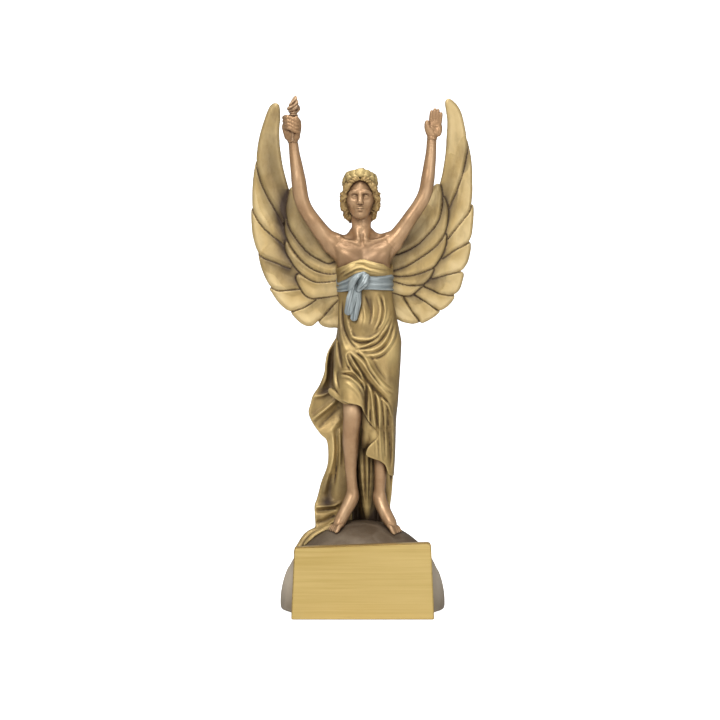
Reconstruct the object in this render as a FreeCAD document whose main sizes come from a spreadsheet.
"""Figure trophy: a winged victory figure on a half-globe base with an engraving plaque.

The figure faces -Y and +Z is up.  The origin is the middle of the base, on the table.
The figure's own right hand, which holds the torch, is on the -X side.  Units are millimetres.
"""
import FreeCAD
import Part
import Sketcher
import math
import os

from FreeCAD import Placement, Rotation, Vector

doc = FreeCAD.newDocument("FigureTrophy")
SHEET = "Dims"
Z_AXIS = Vector(0, 0, 1)

# ---------------------------------------------------------------- driving dimensions

BASE_SIZES = {
    "felt_thick": 1.5, "felt_radius": 39.0,
    "dome_radius": 48.0, "dome_centre_z": 5.0, "dome_wall": 7.0,
    "boss_radius": 9.0, "boss_foot_z": 16.0, "boss_head_sink": 2.2,
    "plaque_width_foot": 80.0, "plaque_width_head": 76.5,
    "plaque_height_right": 40.0, "plaque_height_left": 43.0,
    "plaque_foot_z": 1.0, "plaque_back_y": -40.0, "plaque_thick": 7.0, "plaque_corner": 1.6,
    "glue_thick": 0.5, "plate_thick": 1.0, "plate_margin": 0.6,
    "pin_radius": 1.5, "pin_length": 12.0, "pin_spread": 32.0, "pin_z": 14.0,
    "stud_x": 4.0, "stud_y": 9.0, "stud_radius": 3.0, "stud_clearance": 0.2,
    "stud_foot_z": 7.0, "stud_length": 100.0, "stud_bevel": 0.6,
    "nut_flats": 10.0, "nut_thick": 5.0, "washer_radius": 6.0, "washer_thick": 1.6,
}

# Sections of the body: centre x, y, height z, half-width, half-depth.
SECTIONS = {
    "hem": (1.5, -1.0, 116.0, 17.5, 14.5),
    "thigh": (1.0, -1.5, 126.0, 18.0, 15.5),
    "seat": (2.5, -0.5, 141.0, 18.5, 15.0),
    "hip": (4.0, 0.5, 157.0, 19.0, 14.0),
    "waist": (2.4, 1.0, 172.0, 16.5, 12.0),
    "sash_foot": (1.7, 1.0, 186.0, 16.2, 11.6),
    "sash_head": (1.3, 0.6, 196.0, 16.2, 11.8),
    "bust": (1.2, 0.6, 203.0, 15.6, 10.6),
    "chest": (0.6, 1.0, 209.0, 15.4, 9.4),
    "shoulder": (0.2, 1.4, 214.0, 14.6, 7.6),
    "collar": (-0.3, 1.4, 218.5, 8.6, 5.8),
    "neck": (-0.6, 0.8, 222.0, 5.0, 4.9),
    "nape": (-0.7, 0.4, 229.0, 4.7, 4.6),
    "fall_head": (9.6, -4.6, 116.0, 9.6, 8.6),
    "fall_mid": (9.2, -4.8, 100.0, 9.3, 8.0),
    "fall_hem": (9.2, -4.4, 84.0, 9.0, 6.6),
    "drape_head": (3.0, 8.5, 116.0, 15.0, 6.5),
    "drape_mid": (3.2, 8.5, 84.0, 14.2, 6.2),
    "drape_foot": (4.0, 9.0, 44.0, 14.6, 7.0),
}

# Points down the limbs: centre x, y, z and radius.
LIMB_POINTS = {
    "r_shoulder": (-11.5, 1.2, 211.0, 5.4), "r_biceps": (-24.6, 0.4, 226.2, 4.6),
    "r_elbow": (-35.6, -1.0, 241.0, 4.6), "r_forearm": (-38.4, -2.0, 256.5, 3.9),
    "r_wrist": (-40.3, -3.0, 272.0, 2.9),
    "l_shoulder": (12.3, 1.2, 211.6, 5.3), "l_biceps": (25.6, 0.4, 227.2, 4.5),
    "l_elbow": (36.6, -1.0, 242.0, 4.3), "l_forearm": (39.0, -2.0, 258.0, 3.7),
    "l_wrist": (40.0, -3.0, 273.5, 2.8),
    "r_knee": (-5.0, -8.5, 116.0, 6.2), "r_shin": (-5.6, -7.8, 107.0, 5.6),
    "r_calf": (-6.5, -5.6, 98.0, 5.1), "r_gaiter": (-6.5, -4.2, 81.0, 3.4),
    "r_ankle": (-5.8, -3.4, 67.0, 3.1),
    "l_shin": (10.0, -3.8, 84.0, 4.2), "l_gaiter": (9.8, -3.8, 75.0, 3.7),
    "l_ankle": (9.2, -3.4, 66.0, 3.2),
}

# Where each foot points.
TOE_POINTS = {"r_toe": (-17.0, -14.5, 46.5), "l_toe": (19.6, -13.0, 45.2)}

# Plain balls of the modelling: centre x, y, z, then half-sizes along x, y, z.
BALLS = {
    "skull": (-0.7, -1.0, 243.4, 8.6, 10.2, 12.0),
    "jaw": (-0.7, -4.6, 234.6, 6.2, 6.4, 8.0),
    "hair_cap": (-0.7, 0.6, 243.6, 11.2, 11.6, 12.2),
    "bun": (-0.7, 12.0, 237.0, 6.2, 5.4, 6.0),
    "fist": (-41.4, -5.0, 279.6, 4.8, 4.8, 6.2),
    "palm": (41.0, -3.6, 280.0, 4.2, 2.2, 6.2),
    "knot": (-1.6, -11.6, 190.6, 5.0, 5.4, 3.4),  # tipped over, so ry is upright and rz lies along Y
    "r_foot": (-10.9, -8.6, 56.6, 3.6, 3.4, 12.4),
    "l_foot": (14.0, -8.0, 55.8, 3.5, 3.4, 12.2),
    "r_wing_root": (-11.0, 9.6, 193.0, 7.5, 4.2, 15.0),
    "l_wing_root": (11.0, 9.6, 193.0, 7.5, 4.2, 15.0),
}

# Feathers of one wing, from the long tip down, then the short covering row in front of them:
# root x, z, the bend's control x, z, tip x, z, and half-width.
FEATHERS = {
    "quill_a": (30.0, 214.0, 69.6, 268.6, 49.5, 295.6, 7.7),
    "quill_b": (30.0, 206.0, 65.2, 236.0, 61.5, 266.5, 6.8),
    "quill_c": (30.0, 199.0, 59.8, 207.8, 64.5, 236.0, 6.2),
    "quill_d": (28.0, 192.5, 52.5, 188.2, 61.0, 211.5, 6.0),
    "quill_e": (24.0, 187.0, 41.0, 174.8, 54.2, 189.8, 5.6),
    "quill_f": (19.0, 181.0, 31.8, 166.2, 42.0, 177.0, 5.2),
    "quill_g": (12.0, 180.0, 21.6, 165.6, 30.0, 168.0, 5.2),
    "cover_a": (14.0, 203.0, 40.8, 213.0, 42.3, 246.5, 5.8),
    "cover_b": (14.0, 199.0, 40.4, 206.0, 45.4, 229.0, 5.2),
    "cover_c": (14.0, 195.0, 36.6, 194.0, 44.6, 213.0, 4.8),
    "cover_d": (13.0, 189.0, 30.4, 181.6, 38.6, 196.5, 4.8),
}

FIGURE_SIZES = {
    "hair_line_y": -5.2, "hair_line_z": 250.0,
    "wreath_radius": 10.4, "wreath_stem_radius": 1.3, "wreath_z": 250.6, "wreath_tilt": -10.0,
    "leaf_long": 5.0, "leaf_wide": 2.4, "leaf_tip": 0.3, "leaf_lean": 12.0, "leaf_count": 16,
    "torch_x": -40.7, "torch_y": -7.4, "torch_z": 273.4, "torch_lean": 3.6,
    "torch_foot_radius": 0.9, "torch_head_radius": 1.7, "torch_length": 15.6,
    "torch_rim_radius": 3.1, "torch_rim_thick": 1.8,
    "flame_radius": 3.6, "flame_height": 11.0, "flame_tip_radius": 0.35,
    "flame_bulb_share": 0.42, "flame_point_share": 0.62, "flame_neck_share": 0.93,
    "flame_bulb_rise": 0.36, "flame_point_rise": 0.38,
    "finger_radius": 1.3, "finger_length": 9.0, "finger_pitch": 2.35, "finger_round": 1.2,
    "finger_splay": 0.25, "finger_lean": 0.4,
    "thumb_radius": 1.2, "thumb_length": 7.0,
    "fist_wrist_height": 4.0, "palm_wrist_height": 3.0, "wrist_trim": 30.0, "face_window": 40.0,
    "tail_width": 7.2, "tail_thick": 2.6, "tail_head_z": 192.0, "tail_foot_z": 172.5,
    "tail_shift": -5.6, "tail_swing": 9.0,
    "wing_front_y": 7.4, "feather_thick": 3.4, "feather_step": 0.32, "quill_set_back": 2.0,
    "wing_hinge_x": 12.0, "wing_sweep": 8.0,
    "train_front_y": 1.6, "train_thick": 6.0, "train_lap": 2.4,
    "lap_x": -41.0, "lap_y": -6.0, "lap_z": 32.0,
    "lap_width": 16.0, "lap_depth": 17.0, "lap_height": 20.0,
    "finger_curl": 3.1, "grip_z": 2.7, "palm_root_z": 2.0, "palm_root_x": 0.6,
    "thumb_root_x": -2.6, "thumb_root_z": -2.4, "thumb_reach_x": -2.2,
    "tail_front_y": -13.6, "tail_drop": 1.2,
    "peg_radius": 1.2, "arm_peg_length": 9.0, "wing_peg_length": 8.0, "neck_peg_length": 9.0,
    "leg_peg_length": 9.0, "arm_peg_inset": 1.0, "wing_peg_sink": 6.0, "wing_peg_gap": 5.0,
}

# Outline of the blown train as (x, z): down its free edge, then up the edge at the skirt.
TRAIN_OUTLINE = {
    "free_a": (-13.0, 159.0), "free_b": (-21.0, 141.0), "free_c": (-30.6, 121.0),
    "free_d": (-31.0, 112.0), "free_e": (-21.5, 99.5), "free_f": (-21.0, 85.0),
    "free_g": (-27.4, 62.0), "free_h": (-28.4, 44.0),
    "held_a": (-11.0, 44.0), "held_b": (-10.0, 85.0), "held_c": (-10.5, 120.0),
    "held_d": (-9.0, 159.0),
}

# Length of each open finger as a share of finger_length, from the forefinger out.
FINGER_SHARES = (0.86, 1.0, 0.97, 0.76)

sheet = doc.addObject("Spreadsheet::Sheet", SHEET)
rows_used = 0


def add_cell(alias, value):
    """One row of the sheet: the name in column A, the aliased number in column B."""
    global rows_used
    rows_used += 1
    sheet.set(f"A{rows_used}", alias)
    sheet.set(f"B{rows_used}", str(value))
    sheet.setAlias(f"B{rows_used}", alias)


def add_group(table, fields):
    for name, values in table.items():
        for field, value in zip(fields, values):
            add_cell(f"{name}_{field}", value)


for alias, value in {**BASE_SIZES, **FIGURE_SIZES}.items():
    add_cell(alias, value)
add_group(SECTIONS, ("x", "y", "z", "rx", "ry"))
add_group(LIMB_POINTS, ("x", "y", "z", "r"))
add_group(BALLS, ("x", "y", "z", "rx", "ry", "rz"))
add_group(FEATHERS, ("root_x", "root_z", "bend_x", "bend_z", "tip_x", "tip_z", "half"))
add_group(TRAIN_OUTLINE, ("x", "z"))
add_group(TOE_POINTS, ("x", "y", "z"))
doc.recompute()


def dim(alias):
    """A driving dimension as a plain number."""
    return float(sheet.get(alias))


def point(name):
    return Vector(dim(f"{name}_x"), dim(f"{name}_y"), dim(f"{name}_z"))


def bind(obj, expressions):
    """Ties properties to the sheet; @name in an expression stands for a cell of it."""
    for prop, expression in expressions.items():
        obj.setExpression(prop, expression.replace("@", f"{SHEET}."))
    return obj


# ---------------------------------------------------------------- small builders

sub_parts = []


def sub_part(obj, label):
    """Names a finished piece, which is written to parts/LABEL.step."""
    obj.Label = label
    sub_parts.append(obj)
    return obj


def primitive(kind, name, sizes, base=None, rotation=None):
    """A Part primitive with its sizes, and its place when base is given, bound to the sheet."""
    obj = doc.addObject(f"Part::{kind}", name)
    bind(obj, sizes)
    if base:
        bind(obj, {f"Placement.Base.{axis}": text for axis, text in zip("xyz", base)})
    if rotation:
        obj.Placement = Placement(obj.Placement.Base, rotation)
    return obj


def ball(name, rotation=None):
    """An ellipsoid from its row of BALLS; a rotation turns it about its own centre."""
    sizes = {"Radius1": f"@{name}_rz", "Radius2": f"@{name}_rx", "Radius3": f"@{name}_ry"}
    return primitive("Ellipsoid", f"Ball_{name}", sizes, [f"@{name}_{a}" for a in "xyz"], rotation)


def section(name, owner):
    """A level ellipse across the body; its wider half-size always lies along X."""
    sizes = {"MajorRadius": f"@{name}_rx", "MinorRadius": f"@{name}_ry"}
    return primitive("Ellipse", f"{owner}_{name}", sizes, [f"@{name}_{a}" for a in "xyz"])


def loft(name, profiles):
    obj = doc.addObject("Part::Loft", name)
    obj.Sections = profiles
    obj.Solid = True
    return obj


def body_loft(name, sections):
    return loft(name, [section(s, name) for s in sections])


# Rings that lie level, where a limb meets another piece.
LEVEL_RINGS = ("r_knee", "l_shin", "r_wrist", "l_wrist")


def limb(name, points):
    """A tapering limb: a loft through circles that stand square to the line of the points."""
    places = [point(p) for p in points]
    rings = []
    for i, ring_name in enumerate(points):
        along = places[min(i + 1, len(places) - 1)] - places[max(i - 1, 0)]
        if ring_name in LEVEL_RINGS:
            along = Vector(0, 0, 1 if along.z > 0 else -1)
        rings.append(primitive("Circle", f"{name}_{ring_name}", {"Radius": f"@{ring_name}_r"},
                               [f"@{ring_name}_{a}" for a in "xyz"], Rotation(Z_AXIS, along)))
    return loft(name, rings)


def fuse(name, shapes):
    obj = doc.addObject("Part::MultiFuse", name)
    obj.Shapes = shapes
    return obj


def join(name, base, *others):
    """base with each of the others fused on in turn."""
    for i, other in enumerate(others):
        step = doc.addObject("Part::Fuse", f"{name}_{i}")
        step.Base, step.Tool = base, other
        base = step
    return base


def cut(name, base, *tools):
    """base with each tool taken away in turn."""
    for i, tool in enumerate(tools):
        step = doc.addObject("Part::Cut", f"{name}_{i}")
        step.Base, step.Tool = base, tool
        base = step
    return base


def peg(name, start, along, radius="@peg_radius", length="@arm_peg_length"):
    """A steel dowel from start, a point, along a direction."""
    obj = primitive("Cylinder", name, {"Radius": radius, "Height": length})
    obj.Placement = Placement(start, Rotation(Z_AXIS, along))
    return obj


# ---------------------------------------------------------------- PartDesign helpers

def new_body(label):
    return doc.addObject("PartDesign::Body", f"Body_{label}")


def new_sketch(body, name, plane_role, offset=None):
    """A sketch on one of the body's own origin planes; offset is an expression along its normal."""
    sketch = body.newObject("Sketcher::SketchObject", name)
    plane = next(f for f in body.Origin.OriginFeatures if f.Role == plane_role)
    sketch.AttachmentSupport = [(plane, "")]
    sketch.MapMode = "FlatFace"
    if offset:
        bind(sketch, {"AttachmentOffset.Base.z": offset})
    return sketch


def fix(sketch, name, expression, *constraint):
    """Adds a named dimension to a sketch and ties it to the sheet."""
    index = sketch.addConstraint(Sketcher.Constraint(*constraint))
    sketch.renameConstraint(index, name)
    bind(sketch, {f"Constraints.{name}": expression})


def draw_circle(sketch, radius, centre=None):
    """A circle about the sketch's origin, or about two expressions.

    The first centre and radius are a start that the dimensions below replace.
    """
    circle = sketch.addGeometry(Part.Circle(Vector(1, 1, 0), Z_AXIS, 5), False)
    fix(sketch, "radius", radius, "Radius", circle, 5)
    if centre is None:
        sketch.addConstraint(Sketcher.Constraint("Coincident", circle, 3, -1, 1))
    else:
        fix(sketch, "centre_x", centre[0], "DistanceX", -1, 1, circle, 3, 1)
        fix(sketch, "centre_y", centre[1], "DistanceY", -1, 1, circle, 3, 1)


def draw_polygon(sketch, corners):
    """A closed outline; each corner is (x expression, y expression)."""
    count = len(corners)
    guess = [Vector(math.cos(2 * math.pi * i / count), math.sin(2 * math.pi * i / count), 0)
             for i in range(count)]
    for i in range(count):
        sketch.addGeometry(Part.LineSegment(guess[i], guess[(i + 1) % count]), False)
    for i in range(count):
        sketch.addConstraint(Sketcher.Constraint("Coincident", i, 2, (i + 1) % count, 1))
    for i, (x, y) in enumerate(corners):
        fix(sketch, f"x_{i}", x, "DistanceX", -1, 1, i, 1, guess[i].x)
        fix(sketch, f"y_{i}", y, "DistanceY", -1, 1, i, 1, guess[i].y)


def feature(body, kind, name, sketch, sizes, **settings):
    obj = body.newObject(f"PartDesign::{kind}", name)
    obj.Profile = sketch
    for prop, value in settings.items():
        setattr(obj, prop, value)
    bind(obj, sizes)
    return obj


def dress_edges(body, kind, base, edges, sizes):
    """A Fillet or Chamfer on the named edges of base."""
    obj = body.newObject(f"PartDesign::{kind}", f"{kind}_{base.Name}")
    obj.Base = (base, edges)
    bind(obj, sizes)
    return obj


SAME_DIRECTION = 1e-6


def upright_edges(obj, axis):
    """Names of the straight edges of obj that lie along axis."""
    names = []
    for i, edge in enumerate(obj.Shape.Edges):
        if edge.Curve.TypeId == "Part::GeomLine":
            if abs(abs(edge.tangentAt(edge.FirstParameter).dot(axis)) - 1) < SAME_DIRECTION:
                names.append(f"Edge{i + 1}")
    return names


# ---------------------------------------------------------------- the base

def make_felt_pad():
    body = new_body("felt_pad")
    sketch = new_sketch(body, "FeltOutline", "XY_Plane")
    draw_circle(sketch, "@felt_radius")
    feature(body, "Pad", "FeltSheet", sketch, {"Length": "@felt_thick"})
    return sub_part(body, "felt_pad")


def make_dome_shell():
    """The hollow half-globe: a turned shell with a boss for the stud."""
    body = new_body("dome_shell")
    profile = new_sketch(body, "DomeProfile", "XZ_Plane")
    radius, wall, centre = dim("dome_radius"), dim("dome_wall"), dim("dome_centre_z")
    foot = dim("felt_thick")
    middle = Vector(0, centre, 0)
    for r in (radius, radius - wall):
        start = math.asin((foot - centre) / r)
        arc = Part.ArcOfCircle(Part.Circle(middle, Z_AXIS, r), start, math.pi / 2)
        profile.addGeometry(arc, False)
    profile.addGeometry(Part.LineSegment(Vector(0, centre + radius, 0),
                                         Vector(0, centre + radius - wall, 0)), False)
    profile.addGeometry(Part.LineSegment(Vector(radius - wall, foot, 0), Vector(radius, foot, 0)),
                        False)
    outer, inner, axis_line, foot_line = range(4)
    for first, first_end, second, second_end in (
            (outer, 2, axis_line, 1), (axis_line, 2, inner, 2),
            (inner, 1, foot_line, 1), (foot_line, 2, outer, 1)):
        profile.addConstraint(Sketcher.Constraint("Coincident", first, first_end, second, second_end))
    profile.addConstraint(Sketcher.Constraint("Coincident", outer, 3, inner, 3))
    profile.addConstraint(Sketcher.Constraint("PointOnObject", outer, 3, -2))
    profile.addConstraint(Sketcher.Constraint("Vertical", axis_line))
    profile.addConstraint(Sketcher.Constraint("Horizontal", foot_line))
    fix(profile, "centre_z", "@dome_centre_z", "DistanceY", -1, 1, outer, 3, centre)
    fix(profile, "outer_radius", "@dome_radius", "Radius", outer, radius)
    fix(profile, "inner_radius", "@dome_radius - @dome_wall", "Radius", inner, radius - wall)
    fix(profile, "foot_z", "@felt_thick", "DistanceY", -1, 1, foot_line, 1, foot)
    profile.addConstraint(Sketcher.Constraint("PointOnObject", axis_line, 1, -2))
    feature(body, "Revolution", "DomeTurning", profile, {},
            ReferenceAxis=(profile, ["V_Axis"]), Angle=360.0)
    boss = new_sketch(body, "BossCircle", "XY_Plane", "@boss_foot_z")
    draw_circle(boss, "@boss_radius", ("@stud_x", "@stud_y"))
    feature(body, "Pad", "Boss", boss,
            {"Length": "@dome_centre_z + @dome_radius - @dome_wall / 2 - @boss_foot_z"
                       " - @boss_head_sink"})
    hole = new_sketch(body, "StudHole", "XY_Plane")
    draw_circle(hole, "@stud_radius + @stud_clearance", ("@stud_x", "@stud_y"))
    feature(body, "Pocket", "StudClearance", hole,
            {"Length": "@dome_radius * 2"}, Reversed=True)
    return body


def make_globe():
    """The outer sphere, which pieces that stand on the dome are trimmed to."""
    return primitive("Sphere", "Globe", {"Radius": "@dome_radius"}, ("0", "0", "@dome_centre_z"))


def plaque_corners(margin):
    """The plaque is slightly taller on the figure's left and wider at its foot."""
    foot, head = f"@plaque_width_foot / 2 - {margin}", f"@plaque_width_head / 2 - {margin}"
    low = f"@plaque_foot_z + {margin}"
    right = f"@plaque_foot_z + @plaque_height_right - {margin}"
    left = f"@plaque_foot_z + @plaque_height_left - {margin}"
    return [(foot, low), (head, left), (f"-({head})", right), (f"-({foot})", low)]


def make_plaque_slab(label, front_y, thickness, margin, corner):
    """A slab of the plaque's outline whose back lies at front_y + thickness."""
    body = new_body(label)
    sketch = new_sketch(body, f"{label}_Outline", "XZ_Plane", f"-({front_y}) - ({thickness})")
    draw_polygon(sketch, plaque_corners(margin))
    slab = feature(body, "Pad", f"{label}_Slab", sketch, {"Length": thickness})
    doc.recompute()
    dress_edges(body, "Fillet", slab, upright_edges(slab, Vector(0, 1, 0)), {"Radius": corner})
    return body


def make_plaque():
    """Block, glue sheet and engraving plate, front to back along +Y."""
    block_front = "@plaque_back_y - @plaque_thick"
    block = make_plaque_slab("plaque_block_slab", block_front, "@plaque_thick", "0",
                             "@plaque_corner")
    glue = make_plaque_slab("glue", f"{block_front} - @glue_thick", "@glue_thick",
                            "@plate_margin * 3", "@plaque_corner")
    plate = make_plaque_slab("plate", f"{block_front} - @glue_thick - @plate_thick",
                             "@plate_thick", "@plate_margin", "@plaque_corner")
    sub_part(glue, "plate_adhesive")
    sub_part(plate, "engraving_plate")
    return block


def make_plaque_pins():
    """Two steel pins that locate the plaque block on the dome's flat."""
    pins = []
    for side in (-1, 1):
        pin = primitive("Cylinder", f"Pin_{'LR'[side > 0]}",
                        {"Radius": "@pin_radius", "Height": "@pin_length"},
                        (f"@pin_spread / 2 * {side}", "@plaque_back_y + @pin_length / 2", "@pin_z"),
                        Rotation(Z_AXIS, Vector(0, -1, 0)))
        pins.append(pin)
    group = doc.addObject("Part::Compound", "PlaquePins")
    group.Links = pins
    return sub_part(group, "plaque_pins"), fuse("PinTools", pins)


def make_base():
    globe = make_globe()
    make_felt_pad()
    shell = make_dome_shell()
    block = make_plaque()
    pins, pin_tools = make_plaque_pins()
    flat_tool = primitive(
        "Box", "FlatTool",
        {"Length": "@dome_radius * 2", "Width": "@dome_radius", "Height": "@dome_radius * 2"},
        ("-@dome_radius", "@plaque_back_y - @dome_radius", "-@dome_radius"))
    sub_part(cut("Dome", shell, flat_tool, pin_tools), "base_dome")
    sub_part(cut("PlaqueBlock", block, pin_tools), "plaque_block")
    return globe


def make_fixing():
    """The stud, washer and nut that clamp the figure to the base."""
    body = new_body("stud")
    sketch = new_sketch(body, "StudCircle", "XY_Plane", "@stud_foot_z")
    draw_circle(sketch, "@stud_radius", ("@stud_x", "@stud_y"))
    rod = feature(body, "Pad", "StudRod", sketch, {"Length": "@stud_length"})
    doc.recompute()
    rims = [f"Edge{i + 1}" for i, e in enumerate(rod.Shape.Edges)
            if e.Curve.TypeId == "Part::GeomCircle"]
    dress_edges(body, "Chamfer", rod, rims, {"Size": "@stud_bevel"})
    sub_part(body, "fixing_stud")

    ring = new_body("washer")
    disc = new_sketch(ring, "WasherCircle", "XY_Plane", "@boss_foot_z - @washer_thick")
    draw_circle(disc, "@washer_radius", ("@stud_x", "@stud_y"))
    feature(ring, "Pad", "WasherDisc", disc, {"Length": "@washer_thick"})
    hole = new_sketch(ring, "WasherHole", "XY_Plane")
    draw_circle(hole, "@stud_radius + @stud_clearance", ("@stud_x", "@stud_y"))
    feature(ring, "Pocket", "WasherBore", hole, {"Length": "@boss_foot_z * 2"}, Reversed=True)
    sub_part(ring, "stud_washer")

    nut = new_body("nut")
    hexagon = new_sketch(nut, "NutHexagon", "XY_Plane", "@boss_foot_z - @washer_thick - @nut_thick")
    corner = "@nut_flats / 2 / cos(30)"
    draw_polygon(hexagon, [(f"@stud_x + {corner} * cos({60 * i})",
                            f"@stud_y + {corner} * sin({60 * i})") for i in range(6)])
    feature(nut, "Pad", "NutBlank", hexagon, {"Length": "@nut_thick"})
    bore = new_sketch(nut, "NutBore", "XY_Plane")
    draw_circle(bore, "@stud_radius", ("@stud_x", "@stud_y"))
    feature(nut, "Pocket", "NutHole", bore, {"Length": "@boss_foot_z"}, Reversed=True)
    sub_part(nut, "stud_nut")

    return primitive("Cylinder", "StudTool", {"Radius": "@stud_radius", "Height": "@stud_length"},
                     ("@stud_x", "@stud_y", "@stud_foot_z"))


# ---------------------------------------------------------------- the dress and legs

def make_dress(globe, stud_tool):
    """The drape behind the legs and the train; returns the skirt and its hanging fall, unbored."""
    skirt = body_loft("SkirtLoft", ("hem", "thigh", "seat", "hip", "waist", "sash_foot"))
    drape = body_loft("DrapeLoft", ("drape_foot", "drape_mid", "drape_head"))
    fall = body_loft("FallLoft", ("fall_hem", "fall_mid", "fall_head"))
    sub_part(cut("BackDrape", drape, globe, stud_tool), "back_drape")
    sub_part(cut("Train", make_train_blank(globe), skirt, drape), "train")
    return skirt, cut("SkirtFall", fall, drape)


def make_train_blank(globe):
    """The blown train at the figure's right: a waving sheet that spills onto the dome."""
    free, held = ([Vector(dim(f"{name}_x"), 0, dim(f"{name}_z"))
                   for name in TRAIN_OUTLINE if name.startswith(edge)] for edge in ("free", "held"))
    free_curve, held_curve = Part.BSplineCurve(), Part.BSplineCurve()
    free_curve.interpolate(free)
    held_curve.interpolate(held)
    wire = Part.Wire([free_curve.toShape(), Part.LineSegment(free[-1], held[0]).toShape(),
                      held_curve.toShape(), Part.LineSegment(held[-1], free[0]).toShape()])
    sheet_solid = Part.Face(wire).extrude(Vector(0, dim("train_thick"), 0))
    blank = doc.addObject("Part::Feature", "TrainSheet")
    blank.Shape = sheet_solid
    blank.Placement = Placement(Vector(0, dim("train_front_y"), 0), Rotation())
    # the hem that lies on the dome: a skin of it, between two upright planes
    skin = primitive("Sphere", "LapSkin", {"Radius": "@dome_radius + @train_lap"},
                     ("0", "0", "@dome_centre_z"))
    window = primitive("Box", "LapWindow", {"Length": "@lap_width", "Width": "@lap_depth",
                                            "Height": "@lap_height"},
                       ("@lap_x", "@lap_y", "@lap_z"))
    lap = doc.addObject("Part::Common", "LapBlank")
    lap.Base, lap.Tool = skin, window
    return cut("TrainOnDome", fuse("TrainWhole", [blank, lap]), globe)


def toward(start, end):
    return Rotation(Z_AXIS, end - start)


def make_legs(globe):
    """The right leg from the knee down and the left from the shin; returns their dowels."""
    dowels = []
    for side, names in (("r", ("knee", "shin", "calf", "gaiter", "ankle")),
                        ("l", ("shin", "gaiter", "ankle"))):
        leg = limb(f"{side}_LegLoft", [f"{side}_{n}" for n in names])
        foot = ball(f"{side}_foot", toward(point(f"{side}_ankle"), point(f"{side}_toe")))
        heel = primitive("Sphere", f"{side}_Heel", {"Radius": f"@{side}_ankle_r"},
                         [f"@{side}_ankle_{a}" for a in "xyz"])
        whole = fuse(f"{side}_LegWhole", [leg, foot, heel])
        top = f"{side}_{names[0]}"
        dowel = peg(f"{side}_LegPegTool", point(top) - Vector(0, 0, dim("leg_peg_length") / 2),
                    Z_AXIS, length="@leg_peg_length")
        dowels.append(dowel)
        sub_part(cut(f"{side}_Leg", whole, globe, dowel),
                 "right_leg" if side == "r" else "left_leg")
    return dowels


# ---------------------------------------------------------------- torso, sash and head

def make_torso():
    """The bare shoulders and neck, which stand level on the bodice."""
    chest = body_loft("ChestLoft", ("bust", "chest", "shoulder", "collar"))
    neck = body_loft("NeckLoft", ("shoulder", "neck", "nape"))
    # the neck's foot is as narrow as its top, so its own section stands in for the shoulder's
    neck.Sections = [primitive("Ellipse", "NeckFoot",
                               {"MajorRadius": "@neck_rx", "MinorRadius": "@neck_ry"},
                               ("@neck_x", "@neck_y", "@shoulder_z")), *neck.Sections[1:]]
    return fuse("TorsoWhole", [chest, neck])


def make_sash_ends(band, bodice, skirt):
    """The knot and the two hanging tails."""
    knot = ball("knot", Rotation(Vector(1, 0, 0), 90))  # a pole faces forward, so the band cuts off one cap
    sub_part(cut("Knot", knot, band, skirt, bodice), "sash_knot")
    tails = []
    for i in range(2):
        tail = primitive("Box", f"Tail_{'AB'[i]}",
                         {"Length": "@tail_width / 2", "Width": "@tail_thick * 3",
                          "Height": "@tail_head_z - @tail_foot_z"})
        tail.Placement = Placement(
            Vector(dim("tail_shift") + (i - 1) * dim("tail_width") / 2, dim("tail_front_y"),
                   dim("tail_foot_z") - i * dim("tail_drop")),
            Rotation(Vector(0, 1, 0), dim("tail_swing") / (i + 1)))
        tails.append(tail)
    whole = fuse("TailsWhole", tails)
    sub_part(cut("Tails", whole, band, skirt, knot), "sash_tails")


def make_head(torso):
    """Head, pulled-back hair with its bun, and the laurel wreath."""
    dowel = peg("NeckPegTool", Vector(dim("nape_x"), dim("nape_y"),
                                      dim("nape_z") - dim("neck_peg_length") / 2),
                Z_AXIS, length="@neck_peg_length")
    face = fuse("FaceWhole", [ball("skull"), ball("jaw")])
    sub_part(cut("Head", face, torso, dowel), "head")
    cap = fuse("HairWhole", [ball("hair_cap"), ball("bun")])
    window = primitive("Box", "FaceWindow", {"Length": "@face_window", "Width": "@face_window / 2",
                                            "Height": "@face_window"},
                       ("@skull_x - @face_window / 2", "@hair_line_y - @face_window / 2",
                        "@hair_line_z - @face_window"))
    sub_part(cut("Hair", cap, face, window, torso), "hair")
    sub_part(cut("Wreath", make_wreath_blank(), cap, face), "laurel_wreath")
    return dowel


def make_wreath_blank():
    """A ring that beds in the hair, with leaves that stand on it, tips up and outward."""
    middle = Vector(dim("skull_x"), dim("hair_cap_y"), dim("wreath_z"))
    tilt = Placement(middle, Rotation(Vector(1, 0, 0), dim("wreath_tilt")))
    stem = primitive("Torus", "WreathStem", {"Radius1": "@wreath_radius",
                                             "Radius2": "@wreath_stem_radius"})
    stem.Placement = tilt
    leaves = []
    count = int(dim("leaf_count"))
    for i in range(count):
        around = Rotation(Z_AXIS, 360.0 * (i + 0.5) / count)
        leaf = primitive("Cone", f"Leaf{i}", {"Radius1": "@leaf_wide / 2", "Radius2": "@leaf_tip",
                                              "Height": "@leaf_long"})
        outward = around.multVec(Vector(dim("wreath_radius"), 0, 0))
        lean = around.multiply(Rotation(Vector(0, 1, 0), dim("leaf_lean")))
        leaf.Placement = tilt.multiply(Placement(outward, lean))
        leaves.append(leaf)
    return fuse("WreathWhole", [stem, *leaves])


# ---------------------------------------------------------------- arms, hands and torch

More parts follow.
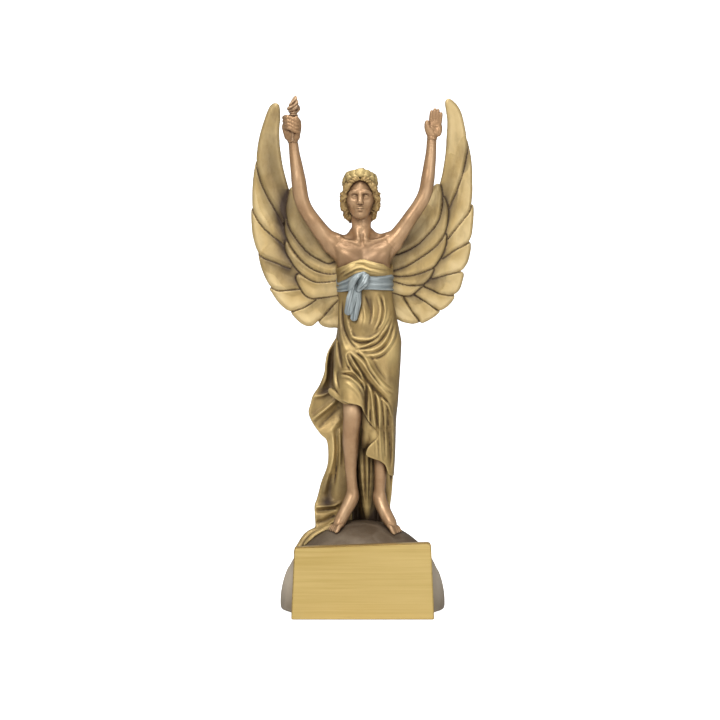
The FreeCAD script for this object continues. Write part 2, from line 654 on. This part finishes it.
def make_torch():
    """A turned torch: tapering handle, rim and flame, leaning slightly."""
    body = new_body("torch")
    profile = new_sketch(body, "TorchProfile", "XZ_Plane")
    rim_foot = "@torch_length - @torch_rim_thick"
    draw_polygon(profile, [("0", "0"), ("@torch_foot_radius", "0"),
                           ("@torch_head_radius", rim_foot), ("@torch_rim_radius", rim_foot),
                           ("@torch_rim_radius", "@torch_length"), ("0", "@torch_length")])
    feature(body, "Revolution", "TorchTurning", profile, {},
            ReferenceAxis=(profile, ["V_Axis"]), Angle=360.0)
    flame = primitive("Ellipsoid", "FlameBulb",
                      {"Radius1": "@flame_height * @flame_bulb_share", "Radius2": "@flame_radius",
                       "Radius3": "@flame_radius"})
    point_cone = primitive("Cone", "FlamePoint",
                           {"Radius1": "@flame_radius * @flame_neck_share",
                            "Radius2": "@flame_tip_radius",
                            "Height": "@flame_height * @flame_point_share"})
    lean = Rotation(Vector(0, 1, 0), dim("torch_lean"))
    foot = Vector(dim("torch_x"), dim("torch_y"), dim("torch_z"))
    body.Placement = Placement(foot, lean)
    for shape, share in ((flame, "flame_bulb_rise"), (point_cone, "flame_point_rise")):
        rise = dim("torch_length") + dim("flame_height") * dim(share)
        shape.Placement = Placement(foot + lean.multVec(Vector(0, 0, rise)), lean)
    sub_part(body, "torch")
    sub_part(cut("Flame", fuse("FlameWhole", [flame, point_cone]), body), "torch_flame")
    return body


def finger(name, root, tip, radius):
    """One finger: a long ellipsoid from root to tip."""
    rod = primitive("Ellipsoid", f"{name}_Rod", {"Radius2": radius, "Radius3": radius})
    rod.Radius1 = (tip - root).Length / 2 + dim("finger_round")
    rod.Placement = Placement((root + tip) / 2, toward(root, tip))
    return rod


def below_wrist(side):
    """A block whose top face is the level joint between a forearm and its hand."""
    return primitive("Box", f"{side}_WristTrim",
                     {"Length": "@wrist_trim", "Width": "@wrist_trim", "Height": "@wrist_trim"},
                     (f"@{side}_wrist_x - @wrist_trim / 2", f"@{side}_wrist_y - @wrist_trim / 2",
                      f"@{side}_wrist_z - @wrist_trim"))


def make_hands(torch):
    """The right fist round the torch and the open left hand."""
    pitch, radius = dim("finger_pitch"), "@finger_radius"
    fist_parts = [ball("fist")]
    lean = Rotation(Vector(0, 1, 0), dim("torch_lean"))
    foot = Vector(dim("torch_x"), dim("torch_y"), dim("torch_z"))
    for i in range(len(FINGER_SHARES)):
        curl = primitive("Torus", f"FistFinger{i}", {"Radius1": "@finger_curl", "Radius2": radius})
        curl.Placement = Placement(foot + lean.multVec(Vector(0, 0, dim("grip_z") + i * pitch)), lean)
        fist_parts.append(curl)
    wrist = primitive("Cylinder", "FistWrist", {"Radius": "@r_wrist_r", "Height": "@fist_wrist_height"},
                      ("@r_wrist_x", "@r_wrist_y", "@r_wrist_z"))
    sub_part(cut("RightHand", join("FistWhole", *fist_parts, wrist), torch, below_wrist("r")),
             "right_hand")

    palm_centre = point("palm")
    hand_parts = [ball("palm")]
    for i, share in enumerate(FINGER_SHARES):
        place = i - (len(FINGER_SHARES) - 1) / 2
        root = palm_centre + Vector(place * pitch + dim("palm_root_x"), 0, dim("palm_root_z"))
        tip = root + Vector(place * dim("finger_splay"), -dim("finger_lean"),
                            dim("finger_length") * share)
        hand_parts.append(finger(f"OpenFinger{i}", root, tip, radius))
    thumb_root = palm_centre + Vector(dim("thumb_root_x"), 0, dim("thumb_root_z"))
    thumb_tip = thumb_root + Vector(dim("thumb_reach_x"), 0, dim("thumb_length"))
    hand_parts.append(finger("Thumb", thumb_root, thumb_tip, "@thumb_radius"))
    wrist = primitive("Cylinder", "PalmWrist", {"Radius": "@l_wrist_r", "Height": "@palm_wrist_height"},
                      ("@l_wrist_x", "@l_wrist_y", "@l_wrist_z"))
    sub_part(cut("LeftHand", fuse("PalmWhole", [*hand_parts, wrist]), below_wrist("l")),
             "left_hand")


def make_arms(torso):
    """Both raised arms, each on a dowel into the shoulder; returns the dowels."""
    dowels = []
    for side in "rl":
        arm = limb(f"{side}_ArmLoft", [f"{side}_{n}" for n in
                                       ("shoulder", "biceps", "elbow", "forearm", "wrist")])
        start, end = point(f"{side}_shoulder"), point(f"{side}_biceps")
        along = (end - start).normalize()
        dowel = peg(f"{side}_ArmPegTool", start + along * dim("arm_peg_inset"), along)
        dowels.append(dowel)
        sub_part(cut(f"{side}_Arm", arm, torso, dowel), "right_arm" if side == "r" else "left_arm")
    return dowels


# ---------------------------------------------------------------- wings

def bezier(a, b, c, t):
    return a * (1 - t) ** 2 + b * (2 * t * (1 - t)) + c * t ** 2


FEATHER_STATIONS = (0.12, 0.3, 0.5, 0.68, 0.83, 0.95)
WIDEST = 0.42
ROOT_SHARE = 0.72
TAPER, ROUNDING = 1.5, 0.55
SHORT_STEP = 0.01


def feather_half_width(half, t):
    """Half-width at t along a feather: nearly full from the root, then closing to a round tip."""
    if t < WIDEST:
        return half * (ROOT_SHARE + (1 - ROOT_SHARE) * math.sin(t / WIDEST * math.pi / 2))
    return half * (1 - ((t - WIDEST) / (1 - WIDEST)) ** TAPER) ** ROUNDING


def feather_solid(name, front_y, hand):
    """A feather as a flat blade with the outline of a curved leaf; hand is -1 or 1."""
    root, bend, tip = (Vector(hand * dim(f"{name}_{p}_x"), 0, dim(f"{name}_{p}_z"))
                       for p in ("root", "bend", "tip"))
    sides = {1: [], -1: []}
    for t in FEATHER_STATIONS:
        ahead = bezier(root, bend, tip, t + SHORT_STEP) - bezier(root, bend, tip, t - SHORT_STEP)
        ahead = ahead.normalize()
        across = Vector(-ahead.z, 0, ahead.x)
        for side, points in sides.items():
            reach = feather_half_width(dim(f"{name}_half"), t)
            points.append(bezier(root, bend, tip, t) + across * side * reach)
    edges = []
    for points in sides.values():
        edge = Part.BSplineCurve()
        edge.interpolate([*points, tip])
        edges.append(edge.toShape())
    edges.append(Part.makeLine(sides[1][0], sides[-1][0]))
    face = Part.Face(Part.Wire(Part.__sortEdges__(edges)))
    blade = face.extrude(Vector(0, dim("feather_thick"), 0))
    blade.translate(Vector(0, front_y, 0))
    return blade


def make_wing_blank(side):
    """All feathers of a wing in one casting, swept back about its root."""
    front, step = dim("wing_front_y"), dim("feather_step")
    blades = []
    for i, name in enumerate(n for n in FEATHERS if n.startswith("cover")):
        blades.append(feather_solid(name, front + step * i, side))
    for i, name in enumerate(n for n in FEATHERS if n.startswith("quill")):
        blades.append(feather_solid(name, front + dim("quill_set_back") + step * i, side))
    fan = blades[0]
    for blade in blades[1:]:
        fan = fan.fuse(blade)
    wing = doc.addObject("Part::Feature", f"WingFan_{'RL'[side > 0]}")
    wing.Shape = fan
    hinge = Vector(side * dim("wing_hinge_x"), dim("wing_front_y"), 0)
    swing = Rotation(Z_AXIS, side * dim("wing_sweep"))
    wing.Placement = Placement(hinge - swing.multVec(hinge), swing)
    return wing


def make_wings(neighbours):
    """Both wings, each with a root pad that beds against the back; returns the root dowels."""
    dowels = []
    for side, tag in ((-1, "r"), (1, "l")):
        root = ball(f"{tag}_wing_root", Rotation(Z_AXIS, 90 - 90 * side))
        start = point(f"{tag}_wing_root") + Vector(0, -dim("wing_peg_sink"), 0)
        pair = [peg(f"{tag}_WingPeg{i}", start + Vector(0, 0, up * dim("wing_peg_gap")),
                    Vector(0, 1, 0), length="@wing_peg_length") for i, up in enumerate((-1, 1))]
        dowels += pair
        whole = join(f"{tag}_WingWhole", root, make_wing_blank(side))
        sub_part(cut(f"{tag}_Wing", whole, *neighbours, *pair),
                 "right_wing" if side < 0 else "left_wing")
    return dowels


def make_dowel_nodes(named_dowels):
    for label, dowels in named_dowels.items():
        group = doc.addObject("Part::Compound", f"Set_{label}")
        group.Links = dowels
        sub_part(group, label)


# ---------------------------------------------------------------- assembly

def make_figure(globe, stud_tool):
    skirt, fall = make_dress(globe, stud_tool)
    bodice = body_loft("BodiceLoft", ("sash_head", "bust"))
    band = body_loft("BandLoft", ("sash_foot", "sash_head"))
    torso = make_torso()
    leg_dowels = make_legs(globe)
    arm_dowels = make_arms(torso)
    neck_dowel = make_head(torso)
    make_hands(make_torch())
    make_sash_ends(band, bodice, skirt)
    arms = [doc.getObject(f"{side}_ArmLoft") for side in "rl"]
    wing_dowels = make_wings([torso, bodice, band, skirt, *arms])
    bored = {
        "upper_torso": (torso, [*arm_dowels, neck_dowel]),
        "skirt": (skirt, leg_dowels[:1]), "skirt_fall": (fall, leg_dowels[1:]),
        "bodice": (bodice, wing_dowels), "sash_band": (band, wing_dowels),
    }
    for label, (solid, dowels) in bored.items():
        sub_part(cut(f"Bored_{label}", solid, *dowels), label)
    make_dowel_nodes({"arm_dowels": arm_dowels, "neck_dowel": [neck_dowel],
                      "wing_dowels": wing_dowels, "leg_dowels": leg_dowels})


def write_parts():
    os.makedirs("parts", exist_ok=True)
    for piece in sub_parts:
        piece.Shape.exportStep(f"parts/{piece.Label}.step")
        print(f"{piece.Label:18s} solids {len(piece.Shape.Solids)}  volume {piece.Shape.Volume:10.1f}")


def check_document():
    """Stops if anything failed to build."""
    bad = [o.Name for o in doc.Objects if "Invalid" in o.State or "Error" in o.State]
    bad += [p.Label for p in sub_parts if p.Shape.isNull() or not p.Shape.isValid()]
    if bad:
        raise RuntimeError(f"these objects failed: {bad}")


globe_tool = make_base()
make_figure(globe_tool, make_fixing())
doc.recompute()
check_document()
write_parts()
